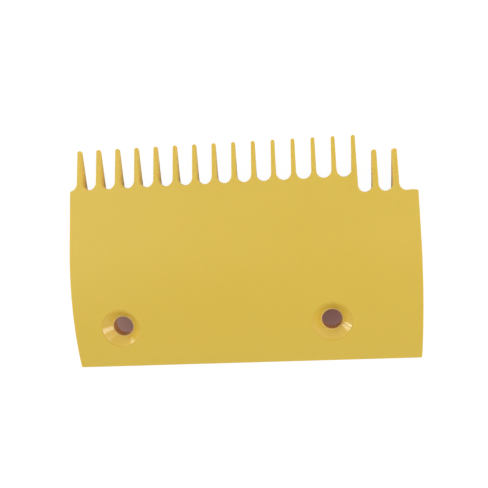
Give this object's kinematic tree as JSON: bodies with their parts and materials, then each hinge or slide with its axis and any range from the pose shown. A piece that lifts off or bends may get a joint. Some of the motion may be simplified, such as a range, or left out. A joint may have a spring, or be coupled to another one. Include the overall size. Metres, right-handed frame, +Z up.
{
  "type": "escalator comb plate",
  "caption": "Moulded escalator comb plate with an arched top, a row of tapered teeth, fins under the body and countersunk screw holes at the rear.",
  "frame": {"origin": "middle of the plate's box, at the level of the blades' feet", "axes": "+X along the row of teeth towards the end where two teeth stand back, +Y towards the tips, +Z up out of the arched top, along the screw holes"},
  "size_m": [0.1484, 0.0928, 0.0232],
  "materials": {
    "yellow_plastic": "semi-gloss moulded yellow"
  },
  "bodies": {
    "root": {"comb_plate": "yellow_plastic"}
  },
  "joints": []
}
